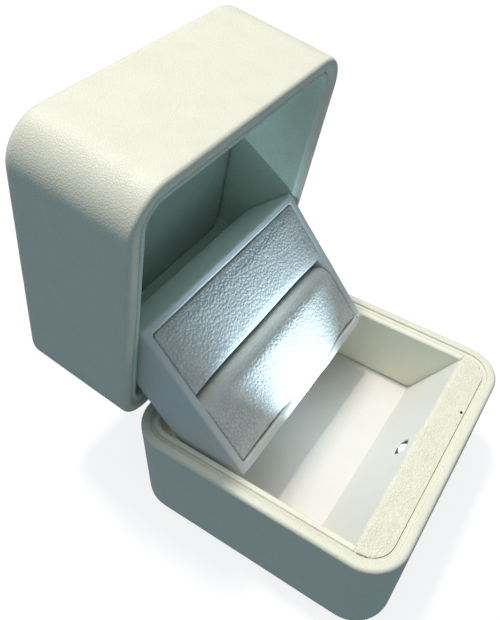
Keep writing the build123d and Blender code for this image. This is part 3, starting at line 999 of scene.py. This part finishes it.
def holder_cover_mesh():
    """The frame's leather: (inset, distance from the face, corner radius) of each ring."""
    depth = HOLDER_BACK - HOLDER_FACE
    outer, inner = 0.55 * MM, 0.5 * MM
    section = [(0, depth - i * (depth - outer) / 12, 0.6 * MM) for i in range(12)]
    for x, y in arc((outer, outer), outer, 180, 270, 6):
        section.append((x, y, 0.6 * MM))
    for x, y in arc((HOLDER_BAR - inner, inner), inner, 270, 360, 6):
        section.append((x, y, 0.8 * MM))
    section += [(HOLDER_BAR, inner + i * (depth - inner) / 12, 0.8 * MM) for i in range(1, 13)]
    bm = bmesh.new()
    rings = []
    for inset, back, radius in section:
        half_z = HOLDER_TALL / 2 - inset
        rings.append(holder_loop(bm, HOLDER_HALF - inset, half_z, radius, HOLDER_FACE + back))
    rings.append(rings[0])
    for ring, following in zip(rings, rings[1:]):
        for i in range(len(ring)):
            j = (i + 1) % len(ring)
            bm.faces.new((ring[i], ring[j], following[j], following[i]))
    back_turn = 3.0 * MM
    for vert in bm.verts:
        place = vert.co / (6 * MM)
        vert.co.y += noise.noise(place + Vector((9, 0, 0))) * 0.10 * MM
        vert.co.z += noise.noise(place + Vector((0, 5, 0))) * 0.12 * MM
        behind = vert.co.y - (HOLDER_BACK - back_turn)
        if behind > 0:
            drop = back_turn - math.sqrt(max(back_turn**2 - min(behind, back_turn) ** 2, 0))
            reach = max(HOLDER_HALF - drop, HOLDER_HALF - HOLDER_BAR + 0.1 * MM)
            if abs(vert.co.x) > reach:
                vert.co.x = math.copysign(reach, vert.co.x)
    corner_fold(bm)
    bmesh.ops.recalc_face_normals(bm, faces=bm.faces)
    return object_from_bmesh("holder_cover", bm)


holder_cover = holder_cover_mesh()
holder_cover.data.materials.append(holder_leather)
finish_piece(holder_cover, "ring_holder", "cream_leather", "holder_frame", angle=HOLDER_OPEN)


# -------- Ring cushions: foam blocks in leather, blown up as cloth and held in by the frame

SIM_SCALE = 20.0
CUSHION_HALF = HOLDER_HALF - HOLDER_BAR - 0.06 * MM
CUSHION_BACK = 27.1 * MM
SLOT_HALF = 0.2 * MM
SAG_REACH = 9 * MM


def pebble_tree():
    """Raises rounded pebbles over a leather surface and keeps where they were laid out.

    The leather is drawn smooth within Smooth Width of Slot Height.
    """
    sizes = {
        "Cell": PEBBLE,
        "Depth": 0.08 * MM,
        "Slot Height": 0.03,
        "Smooth Width": 0.003,
        "Seed": 0,
        "Material": "NodeSocketMaterial",
    }
    nodes, given = geometry_tree("pebble_grain", sizes)
    place = nodes.add("GeometryNodeInputPosition").outputs[0]
    facing = nodes.add("GeometryNodeInputNormal").outputs[0]
    shift = nodes.add("ShaderNodeCombineXYZ", {"X": given["Seed"]}).outputs[0]
    laid = nodes.vector("ADD", place, shift)
    edge = pebble_cells(nodes, laid, nodes.math("DIVIDE", 1.0, given["Cell"]))
    pebble = nodes.ramp(edge, 0.0, 0.24)
    height = nodes.add("ShaderNodeSeparateXYZ", {"Vector": place}).outputs["Z"]
    away = nodes.math("ABSOLUTE", nodes.math("SUBTRACT", height, given["Slot Height"]))
    drawn = nodes.math("DIVIDE", away, given["Smooth Width"])
    relief = nodes.ramp(drawn, 0.35, 1.6, 0.25, 1.0)
    raised = nodes.math("MULTIPLY", nodes.math("SUBTRACT", pebble, 0.6), relief)
    offset = nodes.scaled(facing, nodes.math("MULTIPLY", raised, given["Depth"]))
    layout = nodes.add(
        "GeometryNodeStoreNamedAttribute", data_type="FLOAT_VECTOR", domain="POINT"
    )
    layout.inputs["Name"].default_value = "grain_place"
    kept = nodes.add("GeometryNodeStoreNamedAttribute", data_type="FLOAT", domain="POINT")
    kept.inputs["Name"].default_value = "relief"
    moved = nodes.add("GeometryNodeSetPosition", {"Offset": offset})
    link = nodes.tree.links.new
    link(given["Geometry"], layout.inputs["Geometry"])
    link(laid, layout.inputs["Value"])
    link(layout.outputs[0], kept.inputs["Geometry"])
    link(relief, kept.inputs["Value"])
    link(kept.outputs[0], moved.inputs["Geometry"])
    return close_tree(nodes, moved.outputs[0], given["Material"])


pebble_grain = pebble_tree()


def foam_block(name, low, high, slot_side, roll):
    """A closed block a little smaller than its room, rolled over at its side of the slot."""
    shrink = 0.3 * MM
    bm = bmesh.new()
    size = (
        2 * (CUSHION_HALF - shrink),
        CUSHION_BACK - HOLDER_FACE - 2 * shrink,
        high - low - 2 * shrink,
    )
    centre = Vector((0, (CUSHION_BACK + HOLDER_FACE) / 2, (low + high) / 2))
    bmesh.ops.create_cube(bm, size=1, matrix=Matrix.Diagonal((*size, 1)))
    slot_edges = [
        edge
        for edge in bm.edges
        if all(v.co.z * slot_side > 0 and v.co.y < 0 for v in edge.verts)
    ]
    bmesh.ops.bevel(bm, geom=slot_edges, offset=roll, segments=8, profile=0.5, affect="EDGES")
    bm.transform(Matrix.Scale(SIM_SCALE, 4) @ Matrix.Translation(centre))
    block = object_from_bmesh(name, bm)
    remesh = block.modifiers.new("even_mesh", "REMESH")
    remesh.mode = "VOXEL"
    remesh.voxel_size = 0.85 * MM * SIM_SCALE
    return frozen(block)


def blown_up(block, travel):
    """Blows the block up as cloth and keeps each point within the travel of where it was."""
    start = [vert.co.copy() for vert in block.data.vertices]
    cloth = block.modifiers.new("leather_cover", "CLOTH")
    cloth.settings.quality = 4
    cloth.settings.mass = 0.3
    cloth.settings.tension_stiffness = 12
    cloth.settings.compression_stiffness = 12
    cloth.settings.bending_stiffness = 0.6
    cloth.settings.use_pressure = True
    cloth.settings.uniform_pressure_force = 4.0
    cloth.settings.effector_weights.gravity = 0
    cloth.collision_settings.use_collision = False
    scene = bpy.context.scene
    for number in range(1, 21):
        scene.frame_set(number)
        bpy.context.view_layer.update()
    frozen(block)
    scene.frame_set(1)
    limit = travel * SIM_SCALE
    for vert, was in zip(block.data.vertices, start):
        move = vert.co - was
        if move.length > limit:
            vert.co = was + move * (limit / move.length)
    block.data.transform(Matrix.Scale(1 / SIM_SCALE, 4))
    return block


def soft_limit(value, limit, soft):
    """Eases a value on to a limit instead of cutting it off."""
    over = value - (limit - soft)
    if over <= 0:
        return value
    return limit - soft * math.exp(-over / soft)


def pressed(depth):
    """Draws a cushion's shoulder out to a tight edge; depth is that behind its face."""
    shoulder, reach, tight = 1.5 * MM, 4.0 * MM, 0.3
    if depth <= 0 or depth >= reach:
        return depth
    if depth < shoulder:
        return depth * tight
    return reach + (depth - reach) * (reach - tight * shoulder) / (reach - shoulder)


def ring_cushion(name, low, high, slot_side, roll, seed, sag=0.0):
    """A cushion between two heights of the closed box; slot_side is 1 if its slot is above.

    sag is how far its face sinks towards the slot.
    """
    cushion = blown_up(foam_block(name, low, high, slot_side, roll), 0.5 * MM)
    smooth = cushion.modifiers.new("rounding", "SUBSURF")
    smooth.levels = 1
    smooth.render_levels = 1
    frozen(cushion)
    middle = (low + high) / 2
    half = (high - low) / 2
    bm = bmesh.new()
    bm.from_mesh(cushion.data)
    front = [f for f in bm.faces if f.calc_center_median().y < HOLDER_FACE + roll + 0.5 * MM]
    edges = {edge for face in front for edge in face.edges}
    bmesh.ops.subdivide_edges(bm, edges=list(edges), cuts=1, use_grid_fill=True)
    for vert in bm.verts:
        x, y, z = vert.co
        reach = CUSHION_HALF - pressed(CUSHION_HALF - abs(x))
        x = math.copysign(soft_limit(reach, CUSHION_HALF, 0.12 * MM), x)
        rise = soft_limit(abs(z - middle), half, 0.12 * MM)
        z = middle + math.copysign(rise, z - middle)
        y = min(y, CUSHION_BACK)
        from_slot = half - slot_side * (z - middle)
        y += sag * max(1 - max(from_slot, 0.0) / SAG_REACH, 0.0) ** 2
        short = max(roll - from_slot, 0.0)
        rolled = roll - math.sqrt(max(roll**2 - short**2, 0.0))
        y = HOLDER_FACE + rolled + pressed(y - HOLDER_FACE - rolled)
        if y < HOLDER_FACE:
            y = HOLDER_FACE + (y - HOLDER_FACE) * 0.5
        if y < HOLDER_FACE + 3 * MM:
            y += noise.noise(Vector((x, z, seed * MM)) / (9 * MM)) * 0.15 * MM
        vert.co = (x, y, z)
    bmesh.ops.recalc_face_normals(bm, faces=bm.faces)
    bm.to_mesh(cushion.data)
    bm.free()
    return cushion


def over_the_bar(cushion, low):
    """The lower cushion swells over the middle of the frame's bottom bar."""
    middle, half_wide, tall = 4 * MM, 12 * MM, 3.4 * MM
    forward, down = 0.75 * MM, 1.1 * MM
    for vert in cushion.data.vertices:
        x, y, z = vert.co
        across = math.exp(-(((x - middle) / half_wide) ** 4))
        near_edge = math.exp(-(((z - low) / tall) ** 2))
        near_face = 1 / (1 + math.exp((y - HOLDER_FACE - 0.8 * MM) / (0.25 * MM)))
        push = across * near_edge * near_face
        vert.co.y -= forward * push
        vert.co.z -= down * push


room_low = PIVOT.z - HOLDER_TALL / 2 + HOLDER_BAR + 0.06 * MM
room_high = PIVOT.z + HOLDER_TALL / 2 - HOLDER_BAR - 0.06 * MM
lower_cushion = ring_cushion("lower_cushion", room_low, PIVOT.z - SLOT_HALF, 1, 4.2 * MM, seed=3)
over_the_bar(lower_cushion, room_low)
upper_cushion = ring_cushion(
    "upper_cushion", PIVOT.z + SLOT_HALF, room_high, -1, 2.8 * MM, seed=7, sag=1.1 * MM
)
for cushion, node_name, seed, smooth_width in (
    (lower_cushion, "ring_cushion_lower", 2, 3.6 * MM),
    (upper_cushion, "ring_cushion_upper", 5, 1.6 * MM),
):
    grow(
        cushion,
        pebble_grain,
        Seed=seed,
        Slot_Height=PIVOT.z,
        Smooth_Width=smooth_width,
        Material=cushion_leather,
    )
    shade_smooth(cushion)
    finish_piece(cushion, "ring_holder", "cushion_leather", node_name, angle=HOLDER_OPEN)


# -------- Floor, lights and camera


def light(name, kind, place, aim, energy, colour):
    data = bpy.data.lights.new(name, kind)
    data.energy = energy
    data.color = colour
    lamp_object = bpy.data.objects.new(name, data)
    bpy.context.collection.objects.link(lamp_object)
    lamp_object.location = place
    towards = Vector(aim) - Vector(place)
    lamp_object.rotation_euler = towards.to_track_quat("-Z", "Y").to_euler()
    return lamp_object


def studio_floor():
    bm = bmesh.new()
    bmesh.ops.create_grid(bm, x_segments=1, y_segments=1, size=3.0)
    table = object_from_bmesh("studio_floor", bm, smooth=False)
    made, nodes, shader, place = material("pale_floor", Roughness=0.9, Emission_Strength=0.84)
    cloud = nodes.noise(place, 0.05, 2.0).outputs["Fac"]
    link = nodes.tree.links.new
    link(mixed(nodes, cloud, (0.17, 0.17, 0.17), (0.16, 0.16, 0.16)), shader.inputs["Base Color"])
    shader.inputs["Emission Color"].default_value = (1, 1, 1, 1)
    table.data.materials.append(made)
    table.visible_diffuse = False
    table.visible_glossy = False
    return table


studio_floor()

centre = Vector((0, 15 * MM, 40 * MM))
key_way = Vector((0.07, 0.27, 1.0)).normalized()
key = light("key_light", "AREA", centre + key_way * 1.2, centre, 9.6, (1.0, 0.98, 0.975))
key.data.shape = "DISK"
key.data.size = 0.12

top_way = Vector((0.1, 0.2, 1.0)).normalized()
top = light("top_fill", "AREA", centre + top_way * 1.3, centre, 7.0, (1.0, 0.97, 0.95))
top.data.size = 1.0

glow_place = LAMP + SLOPE_OUT * 0.7 * MM
glow_way = Vector((0.06, 0.92, 0.37))
glow = light(
    "lamp_glow", "SPOT", glow_place, glow_place + glow_way, 0.22, (0.54, 0.77, 1.0)
)
glow.data.spot_size = math.radians(67)
glow.data.spot_blend = 1.0
glow.data.shadow_soft_size = 0.5 * MM

world = bpy.data.worlds.new("studio")
bpy.context.scene.world = world
world.use_nodes = True
sky = Nodes(world.node_tree)
world.node_tree.nodes.clear()
soft_fill = sky.add("ShaderNodeBackground", {"Color": (0.166, 0.236, 0.302, 1), "Strength": 1.0})
backdrop = sky.add("ShaderNodeBackground", {"Color": (1, 1, 1, 1), "Strength": 1.0})
seen = sky.add("ShaderNodeLightPath").outputs["Is Camera Ray"]
both = sky.add("ShaderNodeMixShader", {0: seen, 1: soft_fill.outputs[0], 2: backdrop.outputs[0]})
sky.add("ShaderNodeOutputWorld", {"Surface": both.outputs[0]})

CAMERA_PLACE = (-92.27 * MM, -34.46 * MM, 154.73 * MM)
CAMERA_AIM = Vector((9.1, 25.0, 29.3)) * MM
CAMERA_ROLL = math.radians(3.1)
scene = bpy.context.scene
scene.view_settings.view_transform = "Standard"
camera_data = bpy.data.cameras.new("camera")
camera = bpy.data.objects.new("camera", camera_data)
bpy.context.collection.objects.link(camera)
camera.location = CAMERA_PLACE
look = (CAMERA_AIM - camera.location).to_track_quat("-Z", "Y")
roll = Matrix.Rotation(CAMERA_ROLL, 3, "Z")
camera.rotation_euler = (look.to_matrix() @ roll).to_euler()
camera_data.lens = 37.65
camera_data.sensor_width = 36.0
camera_data.shift_x = -0.0159
camera_data.shift_y = 0.0289
camera_data.clip_start = 0.005
camera_data.clip_end = 20.0
scene.camera = camera
